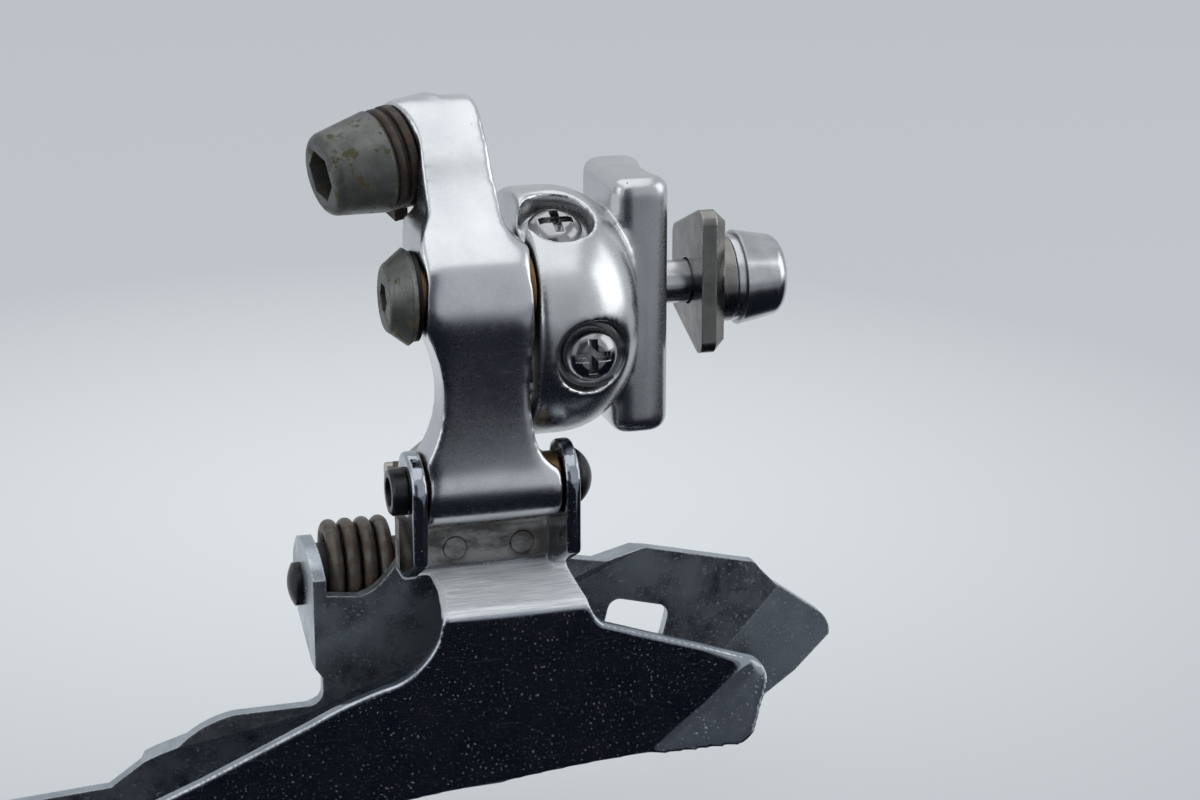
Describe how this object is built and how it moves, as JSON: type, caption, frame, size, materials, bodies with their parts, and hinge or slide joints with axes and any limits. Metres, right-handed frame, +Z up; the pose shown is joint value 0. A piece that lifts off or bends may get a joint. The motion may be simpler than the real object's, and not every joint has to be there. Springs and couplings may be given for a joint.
{
  "type": "front derailleur",
  "caption": "Braze-on front derailleur for a road bicycle: forged body, parallelogram links, sprung chrome chain cage, limit screws, cable anchor and hanger bolt.",
  "frame": {"origin": "the mount bolt's axis, in the middle of the body's saddle face, where the bicycle's hanger tab seats", "axes": "+X forward along the bicycle and out of the saddle face, +Y inward to the bicycle, +Z up along the flange"},
  "size_m": [0.1105, 0.0297, 0.0884],
  "materials": {
    "forged_alloy": "satin polished",
    "polished_alloy": "satin polished",
    "stainless_bolt": "turned and polished",
    "clamp_plate": "pressed, worn",
    "rusted_washer": "tarnished",
    "dull_bolt": "tarnished zinc",
    "dark_washer": "dark",
    "bush": "plain",
    "inner_link": "satin",
    "pin": "dark oiled",
    "limit_screw": "polished",
    "chromed_plate": "chrome plated",
    "chromed_inner_plate": "chrome plated",
    "spacer": "zinc plated",
    "spring_bush": "greasy",
    "spring": "tarnished"
  },
  "bodies": {
    "body": {"body": "forged_alloy", "upper_pivot_bolt": "dull_bolt", "pivot_thrust_washer": "dark_washer", "inner_upper_pin": "pin"},
    "hanger_clamp": {"mount_bolt": "stainless_bolt", "mount_lock_washer": "stainless_bolt", "mount_clamp_plate": "clamp_plate"},
    "outer_link": {"outer_link": "polished_alloy", "outer_link_upper_bush": "bush", "outer_link_lower_bush_left": "bush", "outer_link_lower_bush_right": "bush"},
    "cable_clamp": {"cable_bolt": "dull_bolt", "cable_washer": "rusted_washer"},
    "inner_link": {"inner_link": "inner_link", "inner_link_upper_bush": "bush", "inner_link_lower_bush": "bush"},
    "cage": {"outer_cage_plate": "chromed_plate", "inner_cage_plate": "chromed_inner_plate", "cage_rivet_left": "pin", "cage_rivet_right": "pin", "cage_tail_spacer": "spacer", "cage_tail_screw": "limit_screw", "cage_tail_nut": "spacer", "inner_lower_pin": "pin", "foot_pin": "pin", "spring_bush": "spring_bush", "return_spring": "spring"},
    "low_limit_screw": {"low_limit_screw": "limit_screw"},
    "high_limit_screw": {"high_limit_screw": "limit_screw"}
  },
  "joints": [
    {"name": "arm_swing", "type": "hinge", "parent": "body", "child": "outer_link", "pos_m": [-0.0237, -0.013, 0.004], "axis": [-1, 0, 0], "range_deg": [0, 36], "stiffness_Nm_per_rad": 0.3, "springref_deg": -34.38},
    {"name": "inner_link_swing", "type": "hinge", "parent": "body", "child": "inner_link", "pos_m": [-0.016, 0.002, -0.0113], "axis": [-1, 0, 0], "range_deg": [0, 36]},
    {"name": "cage_swing", "type": "hinge", "parent": "inner_link", "child": "cage", "pos_m": [-0.0216, 0.002, -0.0333], "axis": [-1, 0, 0], "range_deg": [-36, 0], "deforming": ["return_spring"]},
    {"name": "low_limit_screw_turn", "type": "hinge", "parent": "body", "child": "low_limit_screw", "pos_m": [-0.0111, -0.0169, -0.0033], "axis": [0, -1, 0], "range_deg": [-1080, 1080]},
    {"name": "high_limit_screw_turn", "type": "hinge", "parent": "body", "child": "high_limit_screw", "pos_m": [-0.0133, -0.00951, 0.01055], "axis": [0, -0.4305, 0.9026], "range_deg": [-1080, 1080]},
    {"name": "hanger_clamp_travel", "type": "slide", "parent": "body", "child": "hanger_clamp", "axis": [1, 0, 0], "range_m": [0, 0.003]},
    {"name": "cable_clamp_travel", "type": "slide", "parent": "outer_link", "child": "cable_clamp", "axis": [-0.9645, -0.2244, -0.1392], "range_m": [0, 0.0015]}
  ],
  "couplings": [
    {"joint": "inner_link_swing", "follows": "arm_swing", "ratio": 1},
    {"joint": "cage_swing", "follows": "arm_swing", "ratio": -1}
  ]
}
